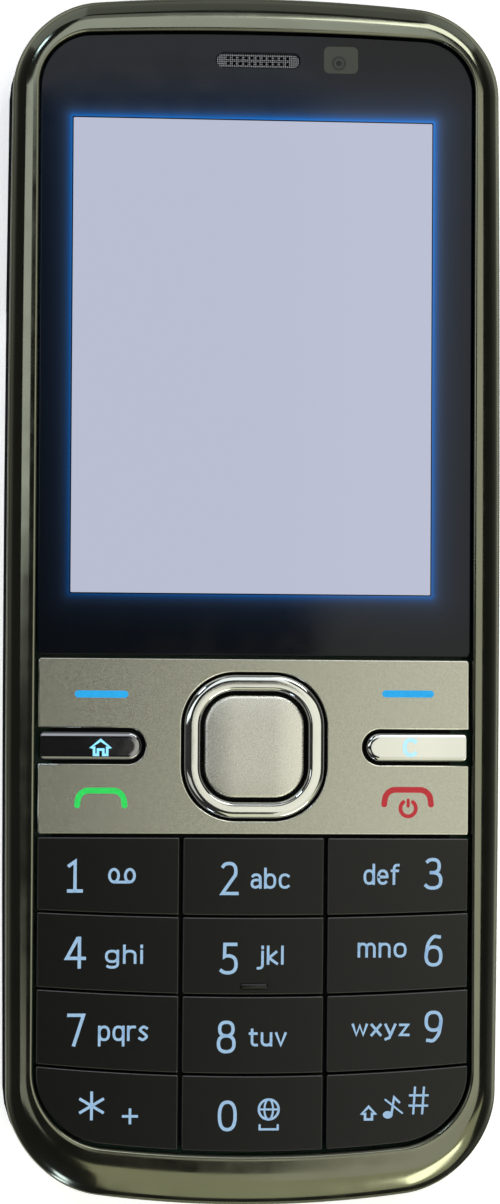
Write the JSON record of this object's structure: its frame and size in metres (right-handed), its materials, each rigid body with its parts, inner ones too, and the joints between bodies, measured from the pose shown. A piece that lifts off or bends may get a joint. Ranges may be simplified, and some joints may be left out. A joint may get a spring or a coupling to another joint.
{
  "type": "candybar mobile phone",
  "caption": "Slim bar-shaped mobile phone with a glossy display window, a navigation ring in a satin function plate, a number keypad, a smoked chrome frame and a slide-off battery cover.",
  "frame": {"origin": "centre of the back, on the plane that the phone rests on when it lies on its back", "axes": "+X to the right of the keypad, +Y along the body towards the earpiece, +Z out of the screen"},
  "size_m": [0.0461, 0.1121, 0.0123],
  "materials": {
    "smoked_chrome": "smoked, polished",
    "bright_chrome": "polished",
    "window_gloss": "high gloss",
    "display": "smooth",
    "satin_metal": "satin",
    "dark_gloss": "gloss",
    "key_matte": "fine matte",
    "silicone": "matte",
    "adhesive": "matte",
    "mesh": "woven",
    "lens_black": "matte",
    "lens_glass": "coated",
    "black_plastic": "fine grain",
    "panel_gloss": "high gloss",
    "speaker": "matte",
    "board": "lacquered",
    "tin": "plated",
    "gold": "plated",
    "led": "smooth",
    "battery": "film wrapped",
    "cover_steel": "brushed",
    "socket_black": "matte",
    "heavy_metal": "machined",
    "inner_grey": "matte"
  },
  "bodies": {
    "body": {"front_cover": "smoked_chrome", "display_window": "window_gloss", "window_adhesive": "adhesive", "earpiece_mesh": "mesh", "front_camera": "lens_black", "display_panel": "display", "display_frame": "black_plastic", "earpiece_speaker": "speaker", "keymat": "silicone", "key_domes": "tin", "main_board": "board", "shield_cans": "tin", "microphone": "gold", "rear_housing": "black_plastic", "camera_panel": "panel_gloss", "camera_ring": "bright_chrome", "camera_glass": "lens_glass", "rear_camera": "lens_black", "flash_led": "led", "speaker_mesh": "mesh", "loudspeaker": "speaker", "battery": "battery", "battery_contacts": "gold", "sim_holder": "tin", "card_socket": "tin", "card_door_pin": "tin", "usb_socket": "tin", "headset_socket": "socket_black", "charger_socket": "socket_black", "vibration_motor": "tin", "antenna_carrier": "inner_grey", "edge_switches": "tin", "case_screws": "tin"},
    "key_1": {"key_1": "key_matte"},
    "key_2": {"key_2": "key_matte"},
    "key_3": {"key_3": "key_matte"},
    "key_4": {"key_4": "key_matte"},
    "key_5": {"key_5": "key_matte"},
    "key_6": {"key_6": "key_matte"},
    "key_7": {"key_7": "key_matte"},
    "key_8": {"key_8": "key_matte"},
    "key_9": {"key_9": "key_matte"},
    "key_star": {"key_star": "key_matte"},
    "key_0": {"key_0": "key_matte"},
    "key_hash": {"key_hash": "key_matte"},
    "home_key": {"home_key": "dark_gloss"},
    "clear_key": {"clear_key": "bright_chrome"},
    "select_key": {"select_key": "satin_metal"},
    "left_function_key": {"left_function_key": "satin_metal"},
    "right_function_key": {"right_function_key": "satin_metal"},
    "navi_base": {"navi_base": "black_plastic"},
    "navi_ring": {"navi_ring": "bright_chrome"},
    "volume_key": {"volume_key": "dark_gloss"},
    "capture_key": {"capture_key": "dark_gloss"},
    "power_key": {"power_key": "dark_gloss"},
    "card_door": {"card_door": "black_plastic"},
    "battery_cover": {"battery_cover": "cover_steel"},
    "motor_weight": {"motor_weight": "heavy_metal"}
  },
  "joints": [
    {"name": "key_1_press", "type": "slide", "parent": "body", "child": "key_1", "axis": [0, 0, -1], "range_m": [0, 0.00035], "stiffness_N_per_m": 250},
    {"name": "key_2_press", "type": "slide", "parent": "body", "child": "key_2", "axis": [0, 0, -1], "range_m": [0, 0.00035], "stiffness_N_per_m": 250},
    {"name": "key_3_press", "type": "slide", "parent": "body", "child": "key_3", "axis": [0, 0, -1], "range_m": [0, 0.00035], "stiffness_N_per_m": 250},
    {"name": "key_4_press", "type": "slide", "parent": "body", "child": "key_4", "axis": [0, 0, -1], "range_m": [0, 0.00035], "stiffness_N_per_m": 250},
    {"name": "key_5_press", "type": "slide", "parent": "body", "child": "key_5", "axis": [0, 0, -1], "range_m": [0, 0.00035], "stiffness_N_per_m": 250, "deforming": ["keymat", "key_domes"]},
    {"name": "key_6_press", "type": "slide", "parent": "body", "child": "key_6", "axis": [0, 0, -1], "range_m": [0, 0.00035], "stiffness_N_per_m": 250},
    {"name": "key_7_press", "type": "slide", "parent": "body", "child": "key_7", "axis": [0, 0, -1], "range_m": [0, 0.00035], "stiffness_N_per_m": 250},
    {"name": "key_8_press", "type": "slide", "parent": "body", "child": "key_8", "axis": [0, 0, -1], "range_m": [0, 0.00035], "stiffness_N_per_m": 250},
    {"name": "key_9_press", "type": "slide", "parent": "body", "child": "key_9", "axis": [0, 0, -1], "range_m": [0, 0.00035], "stiffness_N_per_m": 250},
    {"name": "key_star_press", "type": "slide", "parent": "body", "child": "key_star", "axis": [0, 0, -1], "range_m": [0, 0.00035], "stiffness_N_per_m": 250},
    {"name": "key_0_press", "type": "slide", "parent": "body", "child": "key_0", "axis": [0, 0, -1], "range_m": [0, 0.00035], "stiffness_N_per_m": 250},
    {"name": "key_hash_press", "type": "slide", "parent": "body", "child": "key_hash", "axis": [0, 0, -1], "range_m": [0, 0.00035], "stiffness_N_per_m": 250},
    {"name": "home_key_press", "type": "slide", "parent": "body", "child": "home_key", "axis": [0, 0, -1], "range_m": [0, 0.00035], "stiffness_N_per_m": 250},
    {"name": "clear_key_press", "type": "slide", "parent": "body", "child": "clear_key", "axis": [0, 0, -1], "range_m": [0, 0.00035], "stiffness_N_per_m": 250},
    {"name": "select_key_press", "type": "slide", "parent": "body", "child": "select_key", "axis": [0, 0, -1], "range_m": [0, 0.00035], "stiffness_N_per_m": 250},
    {"name": "left_function_rock", "type": "hinge", "parent": "body", "child": "left_function_key", "pos_m": [0, -0.01367, 0.01017], "axis": [1, 0, 0], "range_deg": [-2.5, 2.5], "stiffness_Nm_per_rad": 0.004},
    {"name": "right_function_rock", "type": "hinge", "parent": "body", "child": "right_function_key", "pos_m": [0, -0.01367, 0.01017], "axis": [1, 0, 0], "range_deg": [-2.5, 2.5], "stiffness_Nm_per_rad": 0.004},
    {"name": "navi_left_right", "type": "hinge", "parent": "body", "child": "navi_base", "pos_m": [0, -0.01367, 0.01017], "axis": [0, 1, 0], "range_deg": [-2.5, 2.5], "stiffness_Nm_per_rad": 0.004},
    {"name": "navi_up_down", "type": "hinge", "parent": "navi_base", "child": "navi_ring", "pos_m": [0, -0.01367, 0.0108], "axis": [1, 0, 0], "range_deg": [-2.5, 2.5], "stiffness_Nm_per_rad": 0.004},
    {"name": "volume_rock", "type": "hinge", "parent": "body", "child": "volume_key", "pos_m": [0.021, 0.014, 0.00607], "axis": [0, 0, 1], "range_deg": [-2, 2], "stiffness_Nm_per_rad": 0.002},
    {"name": "capture_press", "type": "slide", "parent": "body", "child": "capture_key", "axis": [-1, 0, 0], "range_m": [0, 0.00035], "stiffness_N_per_m": 100},
    {"name": "power_press", "type": "slide", "parent": "body", "child": "power_key", "axis": [0, -1, 0], "range_m": [0, 0.00035], "stiffness_N_per_m": 100},
    {"name": "card_door_open", "type": "hinge", "parent": "body", "child": "card_door", "pos_m": [-0.02212, 0.0306, 0.00607], "axis": [0, 0, 1], "range_deg": [0, 90]},
    {"name": "battery_cover_slide", "type": "slide", "parent": "body", "child": "battery_cover", "axis": [0, -1, 0], "range_m": [0, 0.088]},
    {"name": "motor_spin", "type": "hinge", "parent": "body", "child": "motor_weight", "pos_m": [-0.0137, -0.0403, 0.00405], "axis": [0, 1, 0], "continuous": true}
  ]
}
